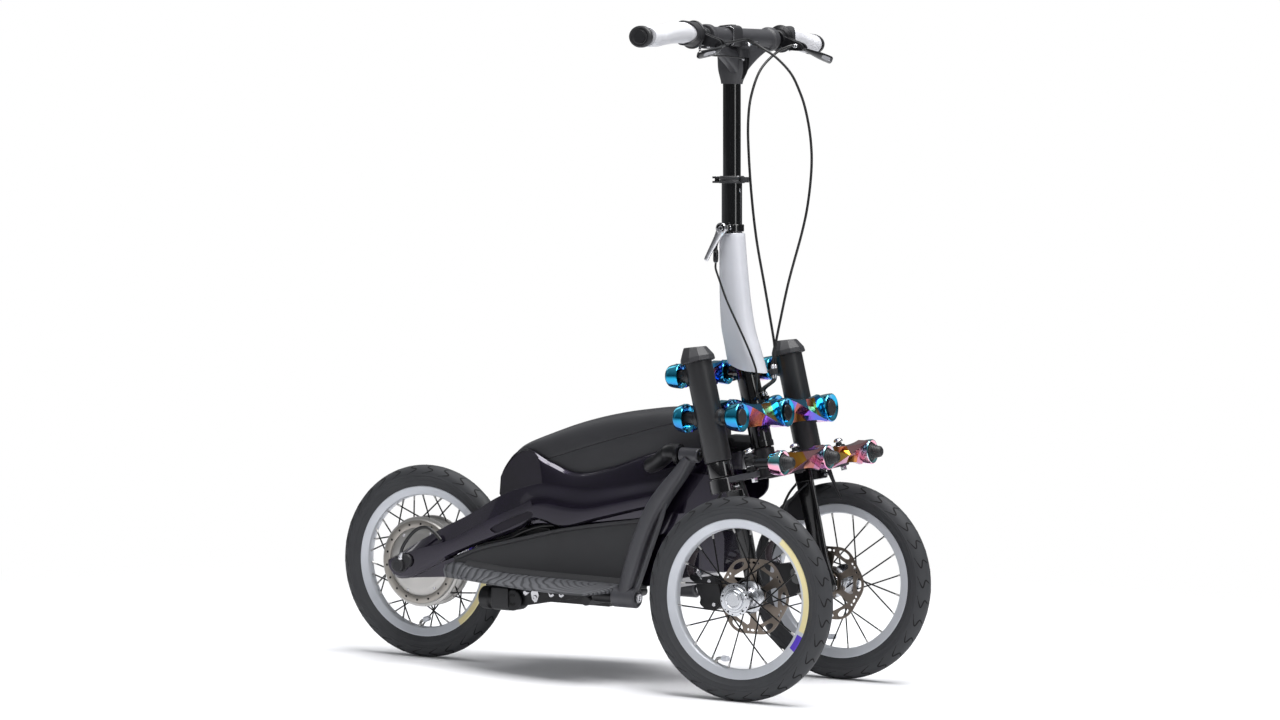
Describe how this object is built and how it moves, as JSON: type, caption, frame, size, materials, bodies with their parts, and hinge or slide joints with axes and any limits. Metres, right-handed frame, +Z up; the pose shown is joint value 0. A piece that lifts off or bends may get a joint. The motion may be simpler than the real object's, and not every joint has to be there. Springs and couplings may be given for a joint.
{
  "type": "three-wheel leaning electric scooter",
  "caption": "Leaning electric scooter with twin front wheels on a tilting parallelogram linkage, a hub motor rear wheel, side footboards and a telescopic handlebar post.",
  "frame": {"origin": "on the ground under the middle of the box: midway between the axles, on the middle plane", "axes": "+X forward, +Y to the rider's left, +Z up; the right side is the one towards the camera"},
  "size_m": [1.0706, 0.616, 1.129],
  "materials": {
    "black_alloy": "satin black paint",
    "black_gloss_alloy": "gloss black paint",
    "black_steel": "black oxide",
    "bright_steel": "satin",
    "cable_skin": "smooth",
    "heat_tint": "heat-tinted plating",
    "moulded_black": "fine grain",
    "moulded_charcoal": "fine grain",
    "polished_hub": "polished",
    "rim_metal": "silver anodised",
    "rose_tint": "heat-tinted plating",
    "rotor_steel": "brushed",
    "tyre_rubber": "matt",
    "violet_black_shell": "metallic gloss paint",
    "white_shell": "gloss"
  },
  "bodies": {
    "frame": {"head_tube": "black_gloss_alloy", "hull": "violet_black_shell", "top_cover": "moulded_charcoal", "battery_case": "moulded_black", "left_footboard": "moulded_black", "right_footboard": "moulded_black", "left_strut": "black_alloy", "right_strut": "black_alloy", "left_foot_bar": "moulded_black", "right_foot_bar": "moulded_black", "rear_axle": "black_steel", "motor_lead": "cable_skin"},
    "rear_wheel": {"rear_tyre": "tyre_rubber", "rear_rim": "rim_metal", "hub_motor": "polished_hub"},
    "lower_arm": {"lower_arm_front": "heat_tint", "lower_arm_rear": "heat_tint"},
    "upper_arm": {"upper_arm": "heat_tint"},
    "right_tube": {"right_side_tube": "black_alloy", "right_tube_cap": "moulded_black"},
    "left_tube": {"left_side_tube": "black_alloy", "left_tube_cap": "moulded_black"},
    "right_fork": {"right_fork_leg": "black_gloss_alloy", "right_brake_caliper": "moulded_black"},
    "left_fork": {"left_fork_leg": "black_gloss_alloy", "left_brake_caliper": "moulded_black"},
    "right_front_wheel": {"right_front_tyre": "tyre_rubber", "right_front_rim": "rim_metal", "right_front_hub": "polished_hub", "right_front_rotor": "rotor_steel"},
    "left_front_wheel": {"left_front_tyre": "tyre_rubber", "left_front_rim": "rim_metal", "left_front_hub": "polished_hub", "left_front_rotor": "rotor_steel"},
    "column": {"steering_shaft": "black_steel", "stem_fairing": "white_shell", "lower_post": "black_gloss_alloy", "lever_band_clamp": "black_alloy", "post_clamp_collar": "black_alloy", "cable_clip": "moulded_black", "lean_lock_cable": "cable_skin", "right_brake_cable_lower": "cable_skin", "left_brake_cable_lower": "cable_skin"},
    "lock_lever": {"lean_lock_lever": "bright_steel"},
    "post": {"upper_post": "black_gloss_alloy", "stem_head": "black_gloss_alloy", "handlebar": "black_alloy", "left_grip": "white_shell", "right_grip": "white_shell", "display": "moulded_black", "throttle_cable": "cable_skin", "right_brake_cable": "cable_skin", "left_brake_cable": "cable_skin"},
    "right_lever": {"right_brake_lever": "black_gloss_alloy"},
    "left_lever": {"left_brake_lever": "black_gloss_alloy"},
    "throttle": {"thumb_throttle": "moulded_black"},
    "centre_swivel": {"centre_yoke": "black_steel"},
    "right_swivel": {"right_yoke": "black_steel"},
    "left_swivel": {"left_yoke": "black_steel"},
    "tie_rod": {"tie_rod": "rose_tint"}
  },
  "joints": [
    {"name": "lean", "type": "hinge", "parent": "frame", "child": "lower_arm", "pos_m": [0.28846, 0, 0.4657], "axis": [0.9976, 0, 0.0698], "range_deg": [-16, 16]},
    {"name": "upper_arm_swing", "type": "hinge", "parent": "frame", "child": "upper_arm", "pos_m": [0.2835, 0, 0.53653], "axis": [0.9976, 0, 0.0698], "range_deg": [-16, 16]},
    {"name": "right_tube_swing", "type": "hinge", "parent": "lower_arm", "child": "right_tube", "pos_m": [0.28846, -0.162, 0.4657], "axis": [0.9976, 0, 0.0698], "range_deg": [-16, 16]},
    {"name": "left_tube_swing", "type": "hinge", "parent": "lower_arm", "child": "left_tube", "pos_m": [0.28846, 0.162, 0.4657], "axis": [0.9976, 0, 0.0698], "range_deg": [-16, 16]},
    {"name": "steer", "type": "hinge", "parent": "frame", "child": "column", "pos_m": [0.3648, 0, 0.1705], "axis": [-0.2504, 0, 0.9681], "range_deg": [-35, 35], "deforming": ["lean_lock_cable", "right_brake_cable_lower", "left_brake_cable_lower"]},
    {"name": "right_fork_turn", "type": "hinge", "parent": "right_tube", "child": "right_fork", "pos_m": [0.3648, -0.162, 0.1705], "axis": [-0.2504, 0, 0.9681], "range_deg": [-35, 35]},
    {"name": "left_fork_turn", "type": "hinge", "parent": "left_tube", "child": "left_fork", "pos_m": [0.3648, 0.162, 0.1705], "axis": [-0.2504, 0, 0.9681], "range_deg": [-35, 35]},
    {"name": "centre_swivel_turn", "type": "hinge", "parent": "column", "child": "centre_swivel", "pos_m": [0.42289, 0, 0.18552], "axis": [-0.2504, 0, 0.9681], "range_deg": [-35, 35]},
    {"name": "right_swivel_turn", "type": "hinge", "parent": "right_fork", "child": "right_swivel", "pos_m": [0.42289, -0.162, 0.18552], "axis": [-0.2504, 0, 0.9681], "range_deg": [-35, 35]},
    {"name": "left_swivel_turn", "type": "hinge", "parent": "left_fork", "child": "left_swivel", "pos_m": [0.42289, 0.162, 0.18552], "axis": [-0.2504, 0, 0.9681], "range_deg": [-35, 35]},
    {"name": "tie_rod_swing", "type": "hinge", "parent": "centre_swivel", "child": "tie_rod", "pos_m": [0.29383, 0, 0.38889], "axis": [0.9976, 0, 0.0698], "range_deg": [-16, 16]},
    {"name": "right_front_wheel_spin", "type": "hinge", "parent": "right_fork", "child": "right_front_wheel", "pos_m": [0.3648, -0.183, 0.1705], "axis": [0, 1, 0], "continuous": true},
    {"name": "left_front_wheel_spin", "type": "hinge", "parent": "left_fork", "child": "left_front_wheel", "pos_m": [0.3648, 0.183, 0.1705], "axis": [0, 1, 0], "continuous": true},
    {"name": "rear_wheel_spin", "type": "hinge", "parent": "frame", "child": "rear_wheel", "pos_m": [-0.3648, 0, 0.1705], "axis": [0, 1, 0], "continuous": true},
    {"name": "post_slide", "type": "slide", "parent": "column", "child": "post", "axis": [-0.0227, 0, 0.9997], "range_m": [-0.13, 0], "deforming": ["right_brake_cable", "left_brake_cable"]},
    {"name": "lock_lever_turn", "type": "hinge", "parent": "column", "child": "lock_lever", "pos_m": [0.23582, -0.0333, 0.778], "axis": [0, 1, 0], "range_deg": [-20, 55]},
    {"name": "right_brake_pull", "type": "hinge", "parent": "post", "child": "right_lever", "pos_m": [0.285, -0.147, 1.086], "axis": [0.3216, -0.1564, 0.9339], "range_deg": [-18, 0], "stiffness_Nm_per_rad": 1.2, "springref_deg": 8.59},
    {"name": "left_brake_pull", "type": "hinge", "parent": "post", "child": "left_lever", "pos_m": [0.285, 0.147, 1.086], "axis": [0.3216, 0.1564, 0.9339], "range_deg": [0, 18], "stiffness_Nm_per_rad": 1.2, "springref_deg": -8.59},
    {"name": "throttle_press", "type": "hinge", "parent": "post", "child": "throttle", "pos_m": [0.24, -0.128, 1.1], "axis": [0, -1, 0], "range_deg": [0, 35], "stiffness_Nm_per_rad": 0.4, "springref_deg": -11.46}
  ],
  "couplings": [
    {"joint": "upper_arm_swing", "follows": "lean", "ratio": 1},
    {"joint": "right_tube_swing", "follows": "lean", "ratio": -1},
    {"joint": "left_tube_swing", "follows": "lean", "ratio": -1},
    {"joint": "tie_rod_swing", "follows": "lean", "ratio": 1},
    {"joint": "right_fork_turn", "follows": "steer", "ratio": 1},
    {"joint": "left_fork_turn", "follows": "steer", "ratio": 1},
    {"joint": "centre_swivel_turn", "follows": "steer", "ratio": -1},
    {"joint": "right_swivel_turn", "follows": "steer", "ratio": -1},
    {"joint": "left_swivel_turn", "follows": "steer", "ratio": -1}
  ]
}
